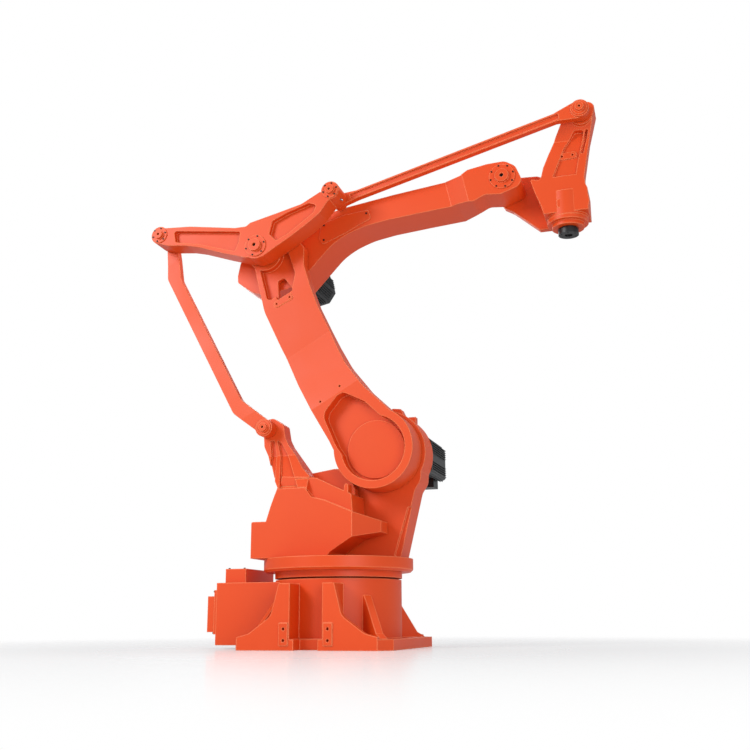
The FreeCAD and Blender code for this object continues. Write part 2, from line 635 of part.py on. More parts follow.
def make_upper_rod():
    """Build the straight grooved rod between the link and the wrist bracket."""
    span = UPPER_LEN
    plane = Plane(PIN_C, UPPER_RISE)
    half = BAR_HALF
    outline = [(0, -half - 14), (40, -half - 8), (110, -half), (span - 130, -half),
               (span - 30, -half - 22), (span, -half - 24), (span, half + 24), (span - 30, half + 22),
               (span - 130, half), (110, half), (40, half + 8), (0, half + 14)]
    body = leaning_bar(outline, plane, span)
    lip = half - GROOVE_LIP
    groove = prism_y([(70, -lip, 4), (span - 110, -lip, 4), (span - 110, lip, 4), (70, lip, 4)],
                     -THROUGH, THROUGH, plane)
    web = leaning_bar([(0, -half), (span, -half), (span, half), (0, half)], plane, span)
    web.translate(Vec(0, GROOVE_DEEP, 0))
    body = body.cut(groove.cut(web).common(leaning_bar(outline, plane, span)))
    body = bores(fuse([body] + rod_eyes(PIN_C, PIN_E)), (PIN_C, PIN_E), LINK_PIN_R + RUN_GAP)
    keep("upper_rod", body)
    keep("upper_rod_cap", cap(PIN_E, BOSS_CAP_R, BOSS_CAP_HUB_R, BOSS_EYE_FACE))


# ---- upper arm ---------------------------------------------------------------
COVER_T = 4.0


def upper_outline():
    """Return the upper arm's outline: elbow end, middle and wrist end along UPPER_LEN."""
    end = UPPER_LEN
    mid = end / 2
    return [(-175, 30, 60), (-90, 120, 80), (mid - 425, 150, 200), (mid - 194, 149, 200),
            (mid + 84, 129), (end - 293, 100), (end - 207, 84), (end - 165, 100, 20), (end - 60, 96),
            (end + 34, 80, 60), (end + 80, 34, 50), (end + 98, -76, 45), (end - 30, -92, 60),
            (end - 113, -66, 60), (end - 175, -83, 40), (end - 271, -50, 100), (mid + 208, -24, 200),
            (mid + 9, 0, 200), (mid - 119, 6, 400), (mid - 226, -8, 400), (mid - 311, -38, 300),
            (mid - 555, -205, 150), (-70, -205, 60), (-140, -160, 30), (-212, -80, 20), (-206, -40, 20)]


def upper_arm():
    """Return the upper arm casting, offset at the elbow and centred at the wrist."""
    end = UPPER_LEN
    body = prism_y(upper_outline(), WRIST_FACE, UPPER_BACK, UPPER)
    near = [(-400, -THROUGH), (-400, UPPER_FACE), (end - 300, UPPER_FACE), (end - 200, WRIST_FACE),
            (end - 200, -THROUGH)]
    far = [(end - 270, THROUGH), (end - 270, UPPER_BACK), (end - 175, WRIST_BACK), (end + 350, WRIST_BACK),
           (end + 350, THROUGH)]
    body = body.cut(prism_member(near, UPPER, -400, 400)).cut(prism_member(far, UPPER, -400, 400))
    body = body.cut(disc_y(ELBOW, ELBOW_PIN_R + RUN_GAP, -THROUGH, 140))
    return bores(body, (WRIST,), WRIST_PIN_R + SEAT_GAP)


def make_upper_arm():
    """Build the upper arm casting, its cover, elbow drive and wrist pivot."""
    keep("upper_arm", upper_arm())
    mid = UPPER_LEN / 2
    panel = [(mid - 375, 20, 14), (mid - 363, -22, 20), (mid - 224, 0, 60), (mid - 115, 26, 40),
             (mid - 63, 36, 16), (mid - 69, 92, 14), (mid - 205, 108, 40), (mid - 345, 100, 20)]
    keep("upper_arm_cover", prism_y(panel, UPPER_FACE - COVER_T, UPPER_FACE, UPPER))
    keep("wrist_cap", cap(WRIST, WRIST_CAP_R, WRIST_CAP_HUB_R, WRIST_FACE))
    keep("wrist_shaft", disc_y(WRIST, WRIST_PIN_R, WRIST_FACE, LUG_BACK))
    make_elbow_motor()


def make_elbow_motor():
    """Build the elbow reducer and its motor on the far side."""
    keep("elbow_reducer", disc_y(ELBOW, ELBOW_REDUCER_R, UPPER_BACK, ELBOW_REDUCER_BACK))
    plane = Plane(UPPER.to_world(*ELBOW_MOTOR_OFFSET), UPPER_RISE)
    r = ELBOW_MOTOR_R
    ring = [polar((0, 0), r / math.cos(math.pi / 8), 22.5 + 45 * k) for k in range(8)]
    keep("elbow_motor", prism_y(ring, ELBOW_REDUCER_BACK, ELBOW_MOTOR_END, plane))
    small = [(p[0] * 0.9, p[1] * 0.9) for p in ring]
    keep("elbow_motor_cap", prism_y(small, ELBOW_MOTOR_END, ELBOW_MOTOR_END + MOTOR_CAP_T, plane))
    plug = [(-r - PLUG_T, -30), (-r, -30), (-r, 30), (-r - PLUG_T, 30)]
    keep("elbow_motor_plug", prism_y(plug, ELBOW_MOTOR_END - 80, ELBOW_MOTOR_END - 10, plane))


# ---- wrist -------------------------------------------------------------------
BRACKET_FACE = -95.0
BRACKET_BACK = -25.0
BRACKET_LOW = 250.0                # wrist axis down to the bracket's underside
BRACKET_POCKET = 12.0
BOSS_R = 60.0
COLLAR_TOP_R = 104.0
COLLAR_STEP = 22.0
STEM_STEP = 6.0                    # the flange's stem is this much smaller
TOOL_BOLT_RING = 40.0
TOOL_BOLT_R = 4.0
SPIGOT_R = 20.0
SPIGOT_DEEP = 8.0


def bracket_plate():
    """Return the bracket's upright plate with its pocket, ribs and pad."""
    ex, ez = LINK_FRONT
    tx = TOOL_OFFSET
    outline = [(ex - 80, ez + 3), (ex - 137, 172), (242, 81), (214, 17, 40), (201, -33, 10),
               (188, -48, 10), (143, -36, 8), (166, -114, 60), (196, -196),
               (tx - 112, 14 - BRACKET_LOW), (tx + 110, 14 - BRACKET_LOW), (tx + 120, -190, 10),
               (tx + 114, -150, 20), (tx + 106, -118, 60), (tx + 102, -57, 60), (tx + 136, 133),
               (ex + 64, ez + 2), (ex + 72, ez + 34, 30), (ex + 48, ez + 62, 40), (ex, ez + 60)]
    body = prism_y(outline, BOSS_FACE, BRACKET_BACK, AT_WRIST)
    front = [(-THROUGH, 0), (BRACKET_FACE, 0), (BRACKET_FACE, WRIST[1] + 150),
             (BOSS_FACE, WRIST[1] + ez - 20), (-THROUGH, WRIST[1] + ez - 20)]
    body = body.cut(prism_x(front, 0, 2 * THROUGH + TOOL_X))
    left = [(tx - 60, -97, 16), (tx + 52, -91, 16), (tx + 75, 31, 40), (ex + 8, ez - 76, 10),
            (ex - 22, ez - 74, 10), (ex - 40, ez - 74, 10), (tx + 8, 110, 40), (tx - 52, -30, 40)]
    right = [(ex + 16, ez - 76, 5), (ex + 32, ez - 74, 5), (tx + 104, 70, 5), (tx + 90, 70, 5)]
    for pocket in (left, right):
        body = body.cut(prism_y(pocket, -THROUGH, BRACKET_FACE + BRACKET_POCKET, AT_WRIST))
    pad = [(tx - 24, 50, 14), (tx - 20, 86, 14), (tx + 70, 90, 14), (tx + 68, 54, 14)]
    square = [(tx - 42, -212, 6), (tx + 6, -208, 6), (tx + 6, -164, 6), (tx - 42, -168, 6)]
    pads = [prism_y(pad, BRACKET_FACE + 4, BRACKET_FACE + BRACKET_POCKET + 1, AT_WRIST),
            prism_y(square, BRACKET_FACE - 6, BRACKET_FACE + 1, AT_WRIST)]
    body = fuse([body] + pads)
    for dx, dz in ((-5, 69), (49, 72)):
        hole = moved(WRIST, (tx + dx, dz))
        body = body.cut(disc_y(hole, ARM_HOLE_R, BRACKET_FACE - 1, BRACKET_FACE + BRACKET_POCKET + 14))
    return body


def bracket_lug():
    """Return the lug on the far side that the wrist shaft holds."""
    tx = TOOL_OFFSET
    outline = [(-40, 70, 30), (-78, 0, 40), (-20, -100, 20), (27, -128), (162, 4 - BRACKET_LOW),
               (tx, 4 - BRACKET_LOW), (tx + 20, -100), (tx - 20, 0), (160, 60)]
    return prism_y(outline, WRIST_BACK + SEAT_GAP + 5, LUG_BACK, AT_WRIST)


def wrist_bracket():
    """Return the bracket: plate, top boss, tool housing and far-side lug."""
    tx = TOOL_OFFSET
    top = WRIST[1] - 118
    low = WRIST[1] - BRACKET_LOW
    housing = disc_z(TOOL_X, 0, COLLAR_TOP_R, low, top)
    block_low = [(tx - 112, -118), (tx - 100, -40), (tx + 80, -40), (tx + 114, -118),
                 (tx + 114, 14 - BRACKET_LOW), (tx - 112, 14 - BRACKET_LOW)]
    core = prism_y(block_low, BRACKET_FACE, WRIST_BACK + 10, AT_WRIST)
    boss = disc_y(PIN_E, BOSS_R, BOSS_FACE, BRACKET_BACK)
    body = fuse([bracket_plate(), housing, core, boss, bracket_lug()])
    body = body.cut(disc_y(WRIST, WRIST_PIN_R + RUN_GAP, WRIST_BACK, THROUGH))
    return body.cut(disc_y(PIN_E, LINK_PIN_R + SEAT_GAP, -THROUGH, BRACKET_BACK - 15))


def make_wrist():
    """Build the wrist bracket, its collar and the tool flange."""
    keep("wrist_bracket", wrist_bracket())
    keep("bracket_pin", disc_y(PIN_E, LINK_PIN_R, BOSS_EYE_FACE + 2, BRACKET_BACK - 15))
    z0 = WRIST[1] - BRACKET_LOW
    stem = FLANGE_R - STEM_STEP
    z1 = z0 - COLLAR_STEP
    z2 = z1 - COLLAR_STEP
    collar = fuse([disc_z(TOOL_X, 0, COLLAR_TOP_R, z1, z0), disc_z(TOOL_X, 0, COLLAR_R, z2, z1)])
    keep("wrist_collar", collar.cut(disc_z(TOOL_X, 0, stem + RUN_GAP, z2 - 1, z0 - 10)))
    flange = fuse([disc_z(TOOL_X, 0, stem, z2 - 5, z0 - 12),
                  disc_z(TOOL_X, 0, FLANGE_R, TOOL_FACE, z2 - 5)])
    flange = flange.cut(disc_z(TOOL_X, 0, SPIGOT_R, TOOL_FACE - 1, TOOL_FACE + SPIGOT_DEEP))
    for k in range(6):
        hole = polar((TOOL_X, 0), TOOL_BOLT_RING, 60 * k + 30)
        flange = flange.cut(disc_z(hole[0], hole[1], TOOL_BOLT_R, TOOL_FACE - 1, TOOL_FACE + 14))
    keep("tool_flange", flange)


def main():
    """Build every piece and write one file for each."""
    make_base()
    make_turntable()
    make_lower_arm()
    make_knuckle()
    make_rear_rod()
    make_upper_rod()
    make_upper_arm()
    make_wrist()
    os.makedirs("parts", exist_ok=True)
    for name, shape in NODES.items():
        print(name, len(shape.Solids), shape.isValid(), round(shape.Volume / 1e6, 2))
        shape.exportStep("parts/%s.step" % name)


main()
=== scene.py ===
"""Finishes, fixings, floor, light and camera for the four-axis palletising robot arm.

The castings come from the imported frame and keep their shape.  This file gives
every one of them its finish, and adds the small pieces that a robot fitter
would know: cap screws, hub plugs, motor fins, connector hoods and nipples.
All places are read from the frame's own nodes.  Sizes are in millimetres and
are turned to metres where a mesh is made.
"""

import json
import logging
import math
from collections.abc import Iterable, Sequence
from dataclasses import dataclass
from enum import Enum

import bmesh
import bpy
from mathutils import Matrix, Vector

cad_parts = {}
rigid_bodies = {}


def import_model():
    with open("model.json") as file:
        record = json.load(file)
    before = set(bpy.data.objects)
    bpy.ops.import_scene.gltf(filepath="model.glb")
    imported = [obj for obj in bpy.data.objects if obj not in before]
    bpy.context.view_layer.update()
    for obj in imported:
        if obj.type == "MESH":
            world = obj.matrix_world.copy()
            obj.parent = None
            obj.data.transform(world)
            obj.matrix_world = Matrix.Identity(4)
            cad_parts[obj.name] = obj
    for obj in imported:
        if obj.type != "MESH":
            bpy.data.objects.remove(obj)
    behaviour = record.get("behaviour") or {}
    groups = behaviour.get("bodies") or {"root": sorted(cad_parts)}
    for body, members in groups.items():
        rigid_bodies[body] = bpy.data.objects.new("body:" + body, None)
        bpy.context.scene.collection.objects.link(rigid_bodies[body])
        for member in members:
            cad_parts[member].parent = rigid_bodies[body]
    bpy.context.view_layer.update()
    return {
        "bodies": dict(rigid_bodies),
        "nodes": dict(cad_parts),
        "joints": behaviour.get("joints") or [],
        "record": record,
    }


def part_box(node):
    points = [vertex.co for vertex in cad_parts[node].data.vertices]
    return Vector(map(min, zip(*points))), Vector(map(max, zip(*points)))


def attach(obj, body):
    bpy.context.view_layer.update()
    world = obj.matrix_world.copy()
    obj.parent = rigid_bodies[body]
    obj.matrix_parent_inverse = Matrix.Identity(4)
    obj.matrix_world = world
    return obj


MM = 0.001
SIDES = 24                         # facets round a turned piece
CAP_HUB_HEIGHT = 16.0              # how far a cap's hub stands over its flange
CAP_HOLE_SHARE = 0.3               # the hub's centre hole as a share of its radius
SCREW_ROOM = 24.0                  # from a motor's side to the middle of a screw beside it
LOG = logging.getLogger("robot_arm")


class Slot(Enum):
    """The record's material slots."""

    ORANGE = "orange_paint"
    BLACK = "black_finish"
    STEEL = "bare_steel"


class Side(Enum):
    """The way that a fixing's head faces."""

    NEAR = (0.0, -1.0, 0.0)
    FAR = (0.0, 1.0, 0.0)
    UP = (0.0, 0.0, 1.0)
    BACK = (-1.0, 0.0, 0.0)


# ---- colour and nodes --------------------------------------------------------
def linear(colour: str) -> tuple[float, float, float, float]:
    """Turn an sRGB hex colour to linear light.

    Args:
        colour: The colour as "#RRGGBB".

    Returns:
        Red, green, blue and an alpha of 1.
    """
    parts = [int(colour[k:k + 2], 16) / 255 for k in (1, 3, 5)]
    red, green, blue = (p / 12.92 if p <= 0.04045 else ((p + 0.055) / 1.055) ** 2.4 for p in parts)
    return (red, green, blue, 1.0)


def per_metre(size_mm: float) -> float:
    """Return the texture scale whose features are the given size in millimetres."""
    return 1.0 / (size_mm * MM)


def add_node(tree: bpy.types.NodeTree, kind: str, inputs: dict[str, object] | None = None,
             **settings: object) -> bpy.types.Node:
    """Add one node with its settings and links.

    Args:
        tree: The node tree that the node goes into.
        kind: The node's type name.
        inputs: Socket name to a value, or to the output socket that feeds it.
        **settings: Properties of the node itself.

    Returns:
        The new node.
    """
    node = tree.nodes.new(kind)
    for name, value in settings.items():
        setattr(node, name, value)
    for name, value in (inputs or {}).items():
        socket = node.inputs[int(name)] if name.isdigit() else node.inputs[name]
        if isinstance(value, bpy.types.NodeSocket):
            tree.links.new(value, socket)
        else:
            socket.default_value = value
    return node


def new_material(name: str) -> tuple[bpy.types.Material, bpy.types.NodeTree, bpy.types.NodeSocket]:
    """Start a material.

    Args:
        name: The material's name.

    Returns:
        The material, its emptied node tree, and object coordinates in metres.
    """
    material = bpy.data.materials.new(name)
    material.use_nodes = True
    tree = material.node_tree
    tree.nodes.clear()
    place = add_node(tree, "ShaderNodeTexCoord").outputs["Object"]
    return material, tree, place


def end_material(tree: bpy.types.NodeTree, surface: bpy.types.Node) -> None:
    """Join a surface shader to the material's output.

    Args:
        tree: The material's node tree.
        surface: The node that gives the surface.
    """
    add_node(tree, "ShaderNodeOutputMaterial", {"Surface": surface.outputs[0]})


def blend_colours(tree: bpy.types.NodeTree, share: bpy.types.NodeSocket, low: object,
                  high: object) -> bpy.types.NodeSocket:
    """Blend two colours by a share.

    Args:
        tree: The material's node tree.
        share: The share of the second colour, 0 to 1.
        low: The colour at 0, as a value or a socket.
        high: The colour at 1, as a value or a socket.

    Returns:
        The blended colour's socket.
    """
    mix = add_node(tree, "ShaderNodeMix", {"0": share, "6": low, "7": high}, data_type="RGBA")
    return mix.outputs[2]


# ---- finishes ----------------------------------------------------------------
@dataclass(frozen=True)
class PowderCoatedIron:
    """Satin orange powder coat baked on shot-blasted grey iron castings.

    The eye sees a soft even sheen, the faint swell of the sand casting under
    the coat, a fine peel in the highlights and edges rounded by the thick coat.
    Along the edges the colour is painted paler, partly for the slightly thinner
    film there and partly as a painted highlight.
    """

    name: str = "powder_coated_cast_iron"
    coat: str = "#DE4C10"
    deep_coat: str = "#D6430C"         # where the film is thicker
    thin_film_and_highlight: str = "#FF8E5C"         # along edges: paler thinner film plus a painted highlight
    patch_mm: float = 380.0            # drift of the film's thickness
    sand_mm: float = 26.0              # swell that the sand mould leaves
    peel_mm: float = 6.0               # real peel is 2 mm, drawn coarser so that it shows
    edge_mm: float = 7.0               # radius of a coated casting edge
    roughness: tuple[float, float] = (0.42, 0.52)
    ior: float = 1.42

    def edge_share(self, tree: bpy.types.NodeTree, rounded: bpy.types.NodeSocket) -> bpy.types.NodeSocket:
        """Find the edges, where the rounded normal leaves the true one.

        Args:
            tree: The material's node tree.
            rounded: The normal with its edges rounded.

        Returns:
            A socket that is 1 on an edge and 0 on a flat face.
        """
        true = add_node(tree, "ShaderNodeNewGeometry").outputs["Normal"]
        agree = add_node(tree, "ShaderNodeVectorMath", {"0": true, "1": rounded}, operation="DOT_PRODUCT")
        edge = add_node(tree, "ShaderNodeMapRange", {"Value": agree.outputs["Value"], "From Min": 1.0,
                                                     "From Max": 0.9, "To Min": 0.0, "To Max": 1.0})
        return edge.outputs["Result"]

    def build(self) -> bpy.types.Material:
        """Return the finished material."""
        material, tree, place = new_material(self.name)
        rounded = add_node(tree, "ShaderNodeBevel", {"Radius": self.edge_mm * MM},
                           samples=4).outputs["Normal"]
        patch = add_node(tree, "ShaderNodeTexNoise", {"Vector": place, "Scale": per_metre(self.patch_mm),
                                                      "Detail": 3.0}).outputs["Fac"]
        sand = add_node(tree, "ShaderNodeTexNoise", {"Vector": place, "Scale": per_metre(self.sand_mm),
                                                     "Detail": 2.0, "Roughness": 0.4}).outputs["Fac"]
        peel = add_node(tree, "ShaderNodeTexNoise", {"Vector": place, "Scale": per_metre(self.peel_mm),
                                                     "Detail": 1.0}).outputs["Fac"]
        body = blend_colours(tree, patch, linear(self.deep_coat), linear(self.coat))
        # edges painted paler: partly the thinner film there, partly a painted highlight on every edge
        edge = self.edge_share(tree, rounded)
        colour = blend_colours(tree, edge, body, linear(self.thin_film_and_highlight))
        sheen = add_node(tree, "ShaderNodeMapRange",
                         {"Value": patch, "From Min": 0.3, "From Max": 0.7,
                          "To Min": self.roughness[0], "To Max": self.roughness[1]})
        swell = add_node(tree, "ShaderNodeBump", {"Height": sand, "Normal": rounded, "Strength": 0.10,
                                                  "Distance": 0.6 * MM})
        skin = add_node(tree, "ShaderNodeBump", {"Height": peel, "Normal": swell.outputs[0], "Strength": 0.08,
                                                 "Distance": 0.12 * MM})
        paint = add_node(tree, "ShaderNodeBsdfPrincipled",
                         {"Base Color": colour, "Roughness": sheen.outputs[0], "Normal": skin.outputs[0],
                          "IOR": self.ior})
        end_material(tree, paint)
        return material


@dataclass(frozen=True)
class AnodisedAluminium:
    """Black-dyed anodised cast aluminium, as on servo motors and tool flanges.

    It is near black and satin, with a fine blasted grain and a greyer film
    worn thin in loose patches.
    """

    name: str = "black_anodised_aluminium"
    dye: str = "#0B0D0F"
    worn: str = "#1E2123"
    grain_mm: float = 5.0              # blasted grain, drawn coarser so that it shows
    cloud_mm: float = 60.0
    edge_mm: float = 2.0
    roughness: tuple[float, float] = (0.38, 0.5)

    def build(self) -> bpy.types.Material:
        """Return the finished material."""
        material, tree, place = new_material(self.name)
        rounded = add_node(tree, "ShaderNodeBevel", {"Radius": self.edge_mm * MM},
                           samples=4).outputs["Normal"]
        grain = add_node(tree, "ShaderNodeTexNoise", {"Vector": place, "Scale": per_metre(self.grain_mm),
                                                      "Detail": 3.0}).outputs["Fac"]
        cloud = add_node(tree, "ShaderNodeTexNoise", {"Vector": place, "Scale": per_metre(self.cloud_mm),
                                                      "Detail": 4.0}).outputs["Fac"]
        thin = add_node(tree, "ShaderNodeMapRange", {"Value": cloud, "From Min": 0.45, "From Max": 0.8,
                                                     "To Min": 0.0, "To Max": 0.5})
        colour = blend_colours(tree, thin.outputs[0], linear(self.dye), linear(self.worn))
        sheen = add_node(tree, "ShaderNodeMapRange", {"Value": cloud, "To Min": self.roughness[0],
                                                      "To Max": self.roughness[1]})
        blast = add_node(tree, "ShaderNodeBump", {"Height": grain, "Normal": rounded, "Strength": 0.15,
                                                  "Distance": 0.2 * MM})
        metal = add_node(tree, "ShaderNodeBsdfPrincipled",
                         {"Base Color": colour, "Roughness": sheen.outputs[0], "Normal": blast.outputs[0]})
        end_material(tree, metal)
        return material


@dataclass(frozen=True)
class GroundSteel:
    """Bearing and pin steel, cylindrically ground and lightly oiled.

    It is a bright neutral metal with fine grinding lines round the pin.
    """

    name: str = "ground_steel"
    colour: str = "#B9BBBD"
    oiled: str = "#96989A"
    line_mm: float = 3.0               # grinding lines are finer, drawn coarser so that they show
    roughness: float = 0.28

    def build(self) -> bpy.types.Material:
        """Return the finished material."""
        material, tree, place = new_material(self.name)
        lines = add_node(tree, "ShaderNodeTexWave",
                         {"Vector": place, "Scale": per_metre(self.line_mm) / math.tau,
                          "Distortion": 1.5, "Detail": 2.0}, bands_direction="Y")
        film = add_node(tree, "ShaderNodeTexNoise",
                        {"Vector": place, "Scale": per_metre(20.0), "Detail": 4.0})
        colour = blend_colours(tree, film.outputs["Fac"], linear(self.colour), linear(self.oiled))
        ground = add_node(tree, "ShaderNodeBump", {"Height": lines.outputs["Fac"], "Strength": 0.12,
                                                   "Distance": 0.1 * MM})
        metal = add_node(tree, "ShaderNodeBsdfPrincipled",
                         {"Base Color": colour, "Metallic": 1.0, "Roughness": self.roughness,
                          "Normal": ground.outputs[0]})
        end_material(tree, metal)
        return material


@dataclass(frozen=True)
class BlackOxideSteel:
    """Alloy steel screws with a black oxide conversion coat.

    They look dark brown-black with a dull oily sheen and small lighter rubs.
    """

    name: str = "black_oxide_steel"
    colour: str = "#2A2624"
    rubbed: str = "#5A5450"
    rub_mm: float = 4.0
    roughness: float = 0.42

    def build(self) -> bpy.types.Material:
        """Return the finished material."""
        material, tree, place = new_material(self.name)
        rub = add_node(tree, "ShaderNodeTexNoise",
                       {"Vector": place, "Scale": per_metre(self.rub_mm), "Detail": 3.0})
        share = add_node(tree, "ShaderNodeMapRange", {"Value": rub.outputs["Fac"], "From Min": 0.55,
                                                      "From Max": 0.75, "To Min": 0.0, "To Max": 0.6})
        colour = blend_colours(tree, share.outputs[0], linear(self.colour), linear(self.rubbed))
        dull = add_node(tree, "ShaderNodeBump",
                        {"Height": rub.outputs["Fac"], "Strength": 0.1, "Distance": 0.1 * MM})
        metal = add_node(tree, "ShaderNodeBsdfPrincipled",
                         {"Base Color": colour, "Metallic": 0.8, "Roughness": self.roughness,
                          "Normal": dull.outputs[0]})
        end_material(tree, metal)
        return material


class Finish(Enum):
    """The finishes of the robot, each with its recipe and its slot in the record."""

    PAINT = (PowderCoatedIron(), Slot.ORANGE)
    ANODISED = (AnodisedAluminium(), Slot.BLACK)
    STEEL = (GroundSteel(), Slot.STEEL)
    SCREW = (BlackOxideSteel(), Slot.BLACK)

    @property
    def slot(self) -> str:
        """Return the record's slot name."""
        return self.value[1].value

    @property
    def material(self) -> bpy.types.Material:
        """Return the finish's material, built the first time it is asked for."""
        recipe = self.value[0]
        return bpy.data.materials.get(recipe.name) or recipe.build()


# ---- places and meshes -------------------------------------------------------
def middle_of(node: str) -> Vector:
    """Return the middle of a node's box, in metres."""
    low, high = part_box(node)
    return (Vector(low) + Vector(high)) / 2


def facing(place: Vector, way: Sequence[float]) -> Matrix:
    """Return a local frame at a place whose height runs along a way.

    Args:
        place: The frame's origin, in metres.
        way: The direction of the frame's +Z.

    Returns:
        The frame as a matrix.
    """
    turn = Vector(way).to_track_quat("Z", "Y").to_matrix().to_4x4()
    return Matrix.Translation(place) @ turn


@dataclass(frozen=True)
class Ring:
    """One ring of a turned profile, in millimetres."""

    radius: float
    height: float
    flats: int = 0                     # number of flats, 0 for a round ring

    def point(self, index: int) -> Vector:
        """Return one of the ring's points in the local frame, in metres."""
        angle = math.tau * index / SIDES
        reach = self.radius
        if self.flats:
            step = math.tau / self.flats
            reach = self.radius / math.cos((angle % step) - step / 2)
        return Vector((reach * math.cos(angle), reach * math.sin(angle), self.height)) * MM


class Piece:
    """A mesh under construction, in metres and in the frame's axes."""

    def __init__(self, name: str) -> None:
        """Start an empty mesh."""
        self.name = name
        self.shape = bmesh.new()

    def turned(self, frame: Matrix, rings: Iterable[Ring]) -> None:
        """Add a turned form, closed at both ends.

        Args:
            frame: The form's local frame, with its axis on Z.
            rings: The rings from the seat upward, in millimetres.
        """
        rows = [[self.shape.verts.new(frame @ ring.point(k)) for k in range(SIDES)] for ring in rings]
        for low, high in zip(rows, rows[1:]):
            for k in range(SIDES):
                after = (k + 1) % SIDES
                self.shape.faces.new((low[k], low[after], high[after], high[k]))
        self.shape.faces.new(list(reversed(rows[0])))
        self.shape.faces.new(rows[-1])

    def extruded(self, frame: Matrix, section: Sequence[tuple[float, float]], length: float) -> None:
        """Add a bar of one section along the frame's Z.

        Args:
            frame: The bar's local frame.
            section: The section's corners in X and Y, in millimetres.
            length: The bar's length, in millimetres.
        """
        ends = [[self.shape.verts.new(frame @ (Vector((x, y, z)) * MM)) for x, y in section]
                for z in (0.0, length)]
        count = len(section)
        for k in range(count):
            after = (k + 1) % count
            self.shape.faces.new((ends[0][k], ends[0][after], ends[1][after], ends[1][k]))
        self.shape.faces.new(list(reversed(ends[0])))
        self.shape.faces.new(ends[1])

    def finish(self, body: str, finish: Finish) -> bpy.types.Object:
        """Make the object, give it its finish and let it ride on a body.

        Args:
            body: The body that the piece moves with.
            finish: The piece's finish.

        Returns:
            The finished object.
        """
        bmesh.ops.recalc_face_normals(self.shape, faces=self.shape.faces)
        mesh = bpy.data.meshes.new(self.name)
        self.shape.to_mesh(mesh)
        self.shape.free()
        mesh.materials.append(finish.material)
        piece = bpy.data.objects.new(self.name, mesh)
        bpy.context.scene.collection.objects.link(piece)
        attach(piece, body)
        LOG.info("added %s on %s, %d faces", self.name, body, len(mesh.polygons))
        return piece


@dataclass(frozen=True)
class CapScrew:
    """A socket-head cap screw's head, in millimetres."""

    head: float = 9.0                  # across the head
    height: float = 3.5
    socket: float = 4.0                # across the hexagon's flats

    def add_to(self, piece: Piece, frame: Matrix) -> None:
        """Add the screw's head to a piece.

        Args:
            piece: The mesh that the head is added to.
            frame: The head's seat, facing along Z.
        """
        radius, edge = self.head / 2, self.head * 0.07
        piece.turned(frame, (Ring(radius, -0.5), Ring(radius, self.height - edge),
                             Ring(radius - edge, self.height),
                             Ring(self.socket / 2 + 0.4, self.height, 6),
                             Ring(self.socket / 2, self.height - 0.6, 6),
                             Ring(self.socket / 2, self.height / 2, 6)))


CAP_SCREW = CapScrew()
COVER_SCREW = CapScrew(10.0, 5.0, 5.0)
FLANGE_SCREW = CapScrew(13.0, 8.0, 6.0)
DRIVE_SCREW = CapScrew(18.0, 12.0, 10.0)


@dataclass(frozen=True)
class ScrewRing:
    """A ring of equal screws round an axis along Y, in millimetres."""

    radius: float
    count: int
    first: float = 15.0                # angle of the first screw, in degrees
    screw: CapScrew = CAP_SCREW

    def places(self, centre: Vector) -> list[Vector]:
        """Return each screw's place round a centre, in metres."""
        turns = [math.radians(self.first + 360 * k / self.count) for k in range(self.count)]
        return [centre + Vector((math.cos(t), 0, math.sin(t))) * self.radius * MM for t in turns]

    def add_to(self, piece: Piece, centre: Vector, side: Side) -> None:
        """Add the screws to a piece.

        Args:
            piece: The mesh that the screws are added to.
            centre: The ring's centre on the face that the heads seat on.
            side: The way that the heads face.
        """
        for place in self.places(centre):
            self.screw.add_to(piece, facing(place, side.value))


# ---- sub-assemblies ----------------------------------------------------------
class SubAssembly:
    """One moving body of the robot: its castings and the small pieces on it."""

    body: str = ""
    painted: tuple[str, ...] = ()
    anodised: tuple[str, ...] = ()
    steel: tuple[str, ...] = ()

    def dress(self, nodes: dict[str, bpy.types.Object]) -> None:
        """Give the body's castings their finishes.

        Args:
            nodes: The frame's nodes by name.
        """
        for names, finish in ((self.painted, Finish.PAINT), (self.anodised, Finish.ANODISED),
                              (self.steel, Finish.STEEL)):
            for name in names:
                for slot in nodes[name].material_slots:
                    slot.material = finish.material
                LOG.info("dressed %s", name)

    def build(self) -> None:
        """Add the body's small pieces."""

    def screws_at(self, name: str, places: Iterable[Vector], side: Side, screw: CapScrew) -> None:
        """Add a set of equal screws as one piece.

        Args:
            name: The piece's name.
            places: Each screw's seat, in metres.
            side: The way that the heads face.
            screw: The screw's size.
        """
        piece = Piece(name)
        for place in places:
            screw.add_to(piece, facing(place, side.value))
        piece.finish(self.body, Finish.SCREW)

    def cap_fixings(self, cap: str, hub: float, ring: ScrewRing | None) -> None:
        """Add the screw ring and the centre plug of a stepped bearing cap.

        Args:
            cap: The cap's node name.
            hub: The radius of the cap's proud hub, in millimetres.
            ring: The screws on the cap's flange, if it shows any.
        """
        low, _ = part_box(cap)
        centre = middle_of(cap)
        bottom = Vector((centre.x, low[1] + CAP_HUB_HEIGHT * MM, centre.z))
        piece = Piece(cap + "_fixings")
        plug = hub * CAP_HOLE_SHARE - 0.4
        piece.turned(facing(bottom, Side.NEAR.value),
                     (Ring(plug, -1.0), Ring(plug, 4.0), Ring(plug - 1.0, 5.0), Ring(plug * 0.5, 5.0, 6),
                      Ring(plug * 0.5, 1.0, 6)))
        if ring:
            ring.add_to(piece, bottom, Side.NEAR)
        piece.finish(self.body, Finish.SCREW)


